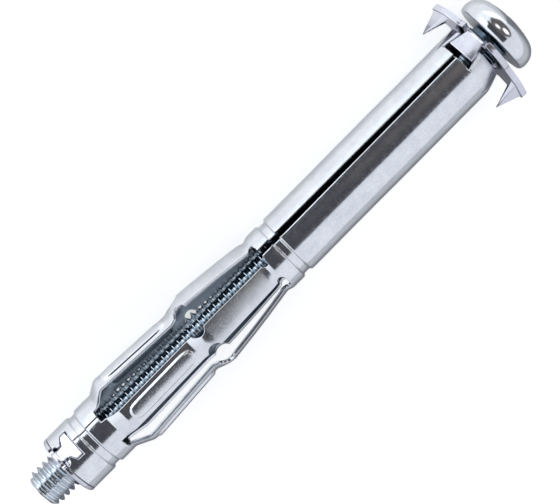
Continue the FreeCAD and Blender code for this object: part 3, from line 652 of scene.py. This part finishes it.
# The crown is an arc about the axis: height = its centre less the root of its radius squared less r squared,
# with the radius whose arc runs smoothly into the shoulder's round. Between two outlines a ring mixes them.
def makeHead():
    across = head["radius"] - head["shoulder"]
    level = head["bearing"] - head["shoulderHeight"]
    depth = level - head["crown"]
    crownRadius = (depth ** 2 + across ** 2 - head["shoulder"] ** 2) / ((depth - head["shoulder"]) * 2)
    meeting = across * crownRadius / (crownRadius - head["shoulder"])
    floorX, floorY = crossOutline(*head["floor"])
    openX, openY = crossOutline(*head["opening"])
    lipX, lipY = crossOutline(*(size + head["lip"] for size in head["opening"]))
    count = len(openX)
    turn = np.arange(count) * 2 * math.pi / count
    rings = []

    def crownHeight(r):
        return head["crown"] + crownRadius - np.sqrt(crownRadius ** 2 - r ** 2)

    def addRound(r, z):
        rings.append((r * np.cos(turn), r * np.sin(turn), z))

    floorAt = head["crown"] + head["recessDepth"]
    openAt = crownHeight(np.hypot(openX, openY))
    for share in head["floorShares"]:
        rings.append((floorX * share, floorY * share, floorAt))
    for share in head["wallShares"]:
        wallX, wallY = floorX + (openX - floorX) * share, floorY + (openY - floorY) * share
        rings.append((wallX, wallY, floorAt + (openAt - floorAt) * share))
    ringX, ringY = head["recessRing"] * np.cos(turn), head["recessRing"] * np.sin(turn)
    for share in head["lipShares"]:
        x, y = lipX + (ringX - lipX) * share, lipY + (ringY - lipY) * share
        rings.append((x, y, crownHeight(np.hypot(x, y))))
    for r in np.linspace(head["recessRing"], meeting, head["crownRings"] + 1)[1:]:
        addRound(r, crownHeight(r))
    top = math.atan2(crownHeight(meeting) - level, meeting - across)
    bottom = math.asin(head["shoulderHeight"] / head["shoulder"])
    for a in np.linspace(top, bottom - head["rimTurn"], head["shoulderRings"] + 1)[1:]:
        addRound(across + head["shoulder"] * math.cos(a), level + head["shoulder"] * math.sin(a))
    for inset, z in head["rim"]:
        addRound(across + head["shoulder"] * math.cos(bottom) - inset, head["bearing"] + z)
    for r, z in (*head["face"], (head["neck"], head["neckStart"])):
        addRound(r, head["bearing"] + z)
    addRound(head["neck"], head["neckEnd"])
    addRound(0, head["neckEnd"])
    points = np.stack([layDown(x, y, z) for x, y, z in rings])
    piece = makePiece("screwHead", [(points, gridFaces(len(points), count, True))], 1e-7)
    return bake(piece, 35)


# Paints the painted shade: the head is darker round its neck, from the bearing face on, where it lies in
# shade.
def paintHead(piece):
    x, y, z = standUp(piece.data)
    within, fade, before = head["neckShade"]
    shade = ease((within - np.hypot(x, y)) / fade) * ease((z - head["bearing"] + before) / before)
    paint(piece, "paintedShade", shade)


screwHead = makeHead()
paintHead(screwHead)
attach(screwHead, "screw")
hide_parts("screw")
print("head turned:", len(screwHead.data.polygons), "faces")

# Flange and nut keep the solids' shapes with every sharp edge rounded. A fold, given as lowest x, widest y
# and highest z, gets the radius of a bend. Cuts across the lock's tab let its face bend there.
flange = {"edge": 0.1, "foldEdge": 0.85, "fold": (4.2, 1.62, -1.6)}
nut = {"edge": 0.07, "cuts": (78.6, 78.8, 79.0, 79.2, 79.35)}
lockTab = {"face": 4.2, "beyond": 4.0, "from": 3.4, "half": 2.4, "end": 79.35, "fade": 0.7}


# The lock's tab lies flat where the ring curves: its points move along x by the plane's distance from the
# ring, fading out towards the tab's end.
def flattenLock(x, y, z):
    tab = (np.hypot(x, y) > lockTab["beyond"]) & (x > lockTab["from"]) & (np.abs(y) < lockTab["half"])
    ring = np.sqrt(np.maximum(sleeve["outer"] ** 2 - y ** 2, 0))
    return x + (lockTab["face"] - ring) * ease((lockTab["end"] - z) / lockTab["fade"]) * tab, y, z


# A copy of a solid, its triangles merged into flat faces and its sharp edges rounded; reshape moves points.
def softened(node, name, look, reshape=None):
    flat, sharp = math.radians(1.5), math.radians(30)
    widest, fold = look.get("foldEdge", look["edge"]), look.get("fold")
    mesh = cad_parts[node].data.copy()
    mesh.name = name
    work = bmesh.new()
    work.from_mesh(mesh)
    bmesh.ops.remove_doubles(work, verts=work.verts, dist=2e-6)
    bmesh.ops.dissolve_limit(work, angle_limit=flat, verts=work.verts, edges=work.edges)
    for cut in look.get("cuts", ()):
        bmesh.ops.bisect_plane(work, geom=work.verts[:] + work.edges[:] + work.faces[:], dist=1e-6,
                               plane_co=(axisX - cut * mm, 0, 0), plane_no=(1, 0, 0))
    work.to_mesh(mesh)
    x, y, z = standUp(mesh)
    work.verts.ensure_lookup_table()
    weight = work.edges.layers.float.new("bevel_weight_edge")
    for edge in work.edges:
        if edge.is_manifold and edge.calc_face_angle() > sharp:
            edge[weight] = look["edge"] / widest
            ends = [v.index for v in edge.verts]
            if fold and all(x[i] > fold[0] and abs(y[i]) < fold[1] and z[i] < fold[2] for i in ends):
                edge[weight] = 1
    work.to_mesh(mesh)
    work.free()
    if reshape:
        mesh.vertices.foreach_set("co", layDown(*reshape(x, y, z)).ravel())
    mesh.materials.clear()
    piece = bpy.data.objects.new(name, mesh)
    bpy.context.scene.collection.objects.link(piece)
    addBevel(piece, widest, 4)
    return bake(piece, 40)


flangePlate = softened("flange_plate", "pressedFlange", flange)
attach(flangePlate, "anchor")
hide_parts("flange_plate")
nutPlate = softened("nut_plate", "lockedNut", nut, flattenLock)
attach(nutPlate, "anchor")
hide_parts("nut_plate")
print("flange and nut softened")

# Finishes: the colours and roughness between which zinc varies, what the painted looks add ("inner" is the
# colour of the painted shade), and its bumps.
finishes = {
    "zincSheet": {
        "dull": (0.57, 0.59, 0.64), "bright": (0.72, 0.74, 0.78), "rough": (0.09, 0.26), "drawn": 0.06,
        "inner": (0.30, 0.35, 0.41), "innerRough": 0.2,
        "waves": 0.02, "lines": 0.12, "grain": 0.45, "seed": 1,
    },
    "zincThread": {
        "dull": (0.45, 0.49, 0.54), "bright": (0.69, 0.73, 0.77), "rough": (0.06, 0.16), "drawn": 0.0,
        "inner": (0.33, 0.40, 0.47), "innerRough": 0.0,
        "waves": 0.05, "lines": 0.0, "grain": 0.3, "seed": 2,
    },
    "zincHead": {
        "dull": (0.58, 0.60, 0.64), "bright": (0.70, 0.72, 0.76), "rough": (0.08, 0.18), "drawn": 0.0,
        "inner": (0.09, 0.13, 0.17), "innerRough": 0.1,
        "waves": 0.03, "lines": 0.0, "grain": 0.15, "seed": 3,
    },
    "zincPressed": {
        "dull": (0.50, 0.50, 0.57), "bright": (0.66, 0.66, 0.73), "rough": (0.1, 0.26), "drawn": 0.0,
        "inner": (0.3, 0.34, 0.38), "innerRough": 0.1,
        "waves": 0.04, "lines": 0.05, "grain": 0.25, "seed": 4,
    },
}
zincSheet, zincThread, zincHead, zincPressed = (makeZinc(name, finish) for name, finish in finishes.items())
for piece, material in (
    (rolledSleeve, zincSheet), (screwThread, zincThread), (screwHead, zincHead),
    (flangePlate, zincPressed), (nutPlate, zincPressed),
):
    piece.data.materials.clear()
    piece.data.materials.append(material)
print("zinc plated")

# Floor: pale and matt, raised to white where the camera sees it. Mirrored in the metal it glows behind the
# object, less close by than far off, and in front its colour is painted darker, a painted shadow where the
# object shades it. Places are metres from the middle.
floorLook = {
    "half": 3, "colour": 0.82, "camera": 0.5, "paleBlue": 1.01, "dimBlue": 1.06,
    "behindStart": (0.0, 0.004), "behind": (0.005, 0.019), "near": 0.12, "far": 0.52,
    "front": (-0.028, -0.004), "frontEnd": (-0.001, 0.004), "shade": 0.62,
}


def makeFloor():
    mesh = bpy.data.meshes.new("floor")
    half = floorLook["half"]
    corners = [(-half, -half, 0), (half, -half, 0), (half, half, 0), (-half, half, 0)]
    mesh.from_pydata(corners, [], [(0, 1, 2, 3)])
    floor = bpy.data.objects.new("floor", mesh)
    bpy.context.scene.collection.objects.link(floor)
    material = bpy.data.materials.new("paleFloor")
    material.use_nodes = True
    tree = material.node_tree
    tree.nodes.clear()
    make, join = tree.nodes.new, tree.links.new
    output = make("ShaderNodeOutputMaterial")
    matt = make("ShaderNodeBsdfDiffuse")
    lift = make("ShaderNodeEmission")
    path = make("ShaderNodeLightPath")
    place = make("ShaderNodeTexCoord")
    parts = make("ShaderNodeSeparateXYZ")
    join(place.outputs["Object"], parts.inputs[0])

    def ramp(first, last, low, high):
        node = make("ShaderNodeMapRange")
        node.interpolation_type = "SMOOTHSTEP"
        for name, value in (("From Min", first), ("From Max", last), ("To Min", low), ("To Max", high)):
            node.inputs[name].default_value = value
        join(parts.outputs["Y"], node.inputs["Value"])
        return node.outputs[0]

    def times(first, second):
        node = make("ShaderNodeMath")
        node.operation = "MULTIPLY"
        join(first, node.inputs[0])
        join(second, node.inputs[1])
        return node.outputs[0]

    mirrored = path.outputs["Is Glossy Ray"]
    # Painted shadow: seen in the metal, the floor's colour is darker in front of the object.
    shadowInFront = times(ramp(*floorLook["front"], 0, 1), ramp(*floorLook["frontEnd"], 1, 0))
    tint = make("ShaderNodeMix")
    tint.data_type = "RGBA"
    pale, dim = floorLook["colour"], floorLook["colour"] * (1 - floorLook["shade"])
    tint.inputs["A"].default_value = (pale, pale, pale * floorLook["paleBlue"], 1)
    tint.inputs["B"].default_value = (dim, dim, dim * floorLook["dimBlue"], 1)
    join(times(shadowInFront, mirrored), tint.inputs["Factor"])
    join(tint.outputs["Result"], matt.inputs["Color"])
    seen = make("ShaderNodeMath")
    seen.operation = "MULTIPLY_ADD"
    seen.inputs[1].default_value = floorLook["camera"]
    join(path.outputs["Is Camera Ray"], seen.inputs[0])
    glow = ramp(*floorLook["behind"], floorLook["near"], floorLook["far"])
    glowing = times(mirrored, ramp(*floorLook["behindStart"], 0, 1))
    join(times(glow, glowing), seen.inputs[2])
    join(seen.outputs[0], lift.inputs["Strength"])
    both = make("ShaderNodeAddShader")
    join(matt.outputs[0], both.inputs[0])
    join(lift.outputs[0], both.inputs[1])
    join(both.outputs[0], output.inputs["Surface"])
    mesh.materials.append(material)


# Room: the world's colour by direction. It is plain on one side and bright on the other, with a dark panel
# overhead and round spots in front of it. Directions are told apart by two angles in degrees: "turn" about the
# anchor's axis, 0 towards the camera, and "lean" along it.
room = {
    "bright": (1.34, 1.41, 1.45), "plain": (1.02, 1.05, 1.10), "sides": (0, 60),
    "panel": (0.085, 0.085, 0.098),
    "panelTurn": (-31.0, 41.0), "turnBlur": 2.0, "panelLean": (-26.0, 11.0), "leanBlur": 8.0,
    "spots": (
        {"turn": 5, "lean": 36, "wide": 34, "blur": 6, "colour": (0.17, 0.155, 0.145)},
        {"turn": 12, "lean": 24, "wide": 8, "blur": 6, "colour": (1.7, 1.65, 1.6)},
        {"turn": -16, "lean": 38, "wide": 10, "blur": 6, "colour": (1.9, 1.9, 1.9)},
        {"turn": 80, "lean": 50, "wide": 24, "blur": 14, "colour": (2.1, 2.15, 2.2)},
    ),
}


def makeRoom():
    world = bpy.data.worlds.new("studio")
    bpy.context.scene.world = world
    world.use_nodes = True
    tree = world.node_tree
    tree.nodes.clear()
    make, join = tree.nodes.new, tree.links.new
    output = make("ShaderNodeOutputWorld")
    light = make("ShaderNodeBackground")
    join(light.outputs[0], output.inputs["Surface"])
    look = make("ShaderNodeTexCoord")

    def part(direction):
        node = make("ShaderNodeVectorMath")
        node.operation = "DOT_PRODUCT"
        node.inputs[1].default_value = direction
        join(look.outputs["Generated"], node.inputs[0])
        return node.outputs["Value"]

    def reckon(operation, first, second=None):
        node = make("ShaderNodeMath")
        node.operation = operation
        join(first, node.inputs[0])
        if second is not None:
            join(second, node.inputs[1])
        return node.outputs[0]

    def rising(value, middle, blur):
        node = make("ShaderNodeMapRange")
        node.interpolation_type = "SMOOTHSTEP"
        node.inputs["From Min"].default_value = math.radians(middle - blur / 2)
        node.inputs["From Max"].default_value = math.radians(middle + blur / 2)
        join(value, node.inputs["Value"])
        return node.outputs[0]

    def between(value, limits, blur):
        above, below = rising(value, limits[0], blur), rising(value, limits[1], blur)
        return reckon("SUBTRACT", above, below)

    def mixed(factor, first, second):
        node = make("ShaderNodeMix")
        node.data_type = "RGBA"
        join(factor, node.inputs["Factor"])
        for socket, value in (("A", first), ("B", second)):
            if isinstance(value, tuple):
                node.inputs[socket].default_value = (*value, 1)
            else:
                join(value, node.inputs[socket])
        return node.outputs["Result"]

    lean = math.radians(camera["lean"])
    c, s = math.cos(lean), math.sin(lean)
    turn = reckon("ARCTAN2", part((0, c, -s)), part((0, s, c)))
    tilt = reckon("ARCSINE", part((1, 0, 0)))
    turned = between(turn, room["panelTurn"], room["turnBlur"])
    leaned = between(tilt, room["panelLean"], room["leanBlur"])
    sides = mixed(rising(turn, *room["sides"]), room["plain"], room["bright"])
    seen = mixed(reckon("MULTIPLY", turned, leaned), sides, room["panel"])
    for spot in room["spots"]:
        a, b = math.radians(spot["turn"]), math.radians(spot["lean"])
        across, up = math.cos(b) * math.sin(a), math.cos(b) * math.cos(a)
        centre = (math.sin(b), across * c + up * s, up * c - across * s)
        beyond = rising(reckon("ARCCOSINE", part(centre)), spot["wide"], spot["blur"])
        seen = mixed(beyond, spot["colour"], seen)
    join(seen, light.inputs["Color"])


# Lamp: one soft box beside the dark panel, aimed at the middle of the floor.
lamp = {"at": (-0.2, 0.74, 0.43), "wide": 0.42, "power": 0.9, "colour": (0.95, 0.98, 1.0)}


def makeLamp():
    data = bpy.data.lights.new("soft", "AREA")
    data.size = lamp["wide"]
    data.energy = lamp["power"]
    data.color = lamp["colour"]
    box = bpy.data.objects.new("soft", data)
    spot = Vector(lamp["at"])
    box.matrix_world = Matrix.Translation(spot) @ spot.to_track_quat("Z", "Y").to_matrix().to_4x4()
    bpy.context.scene.collection.objects.link(box)


makeFloor()
makeRoom()
makeLamp()
bpy.context.scene.view_settings.view_transform = "Standard"
print("studio lit")
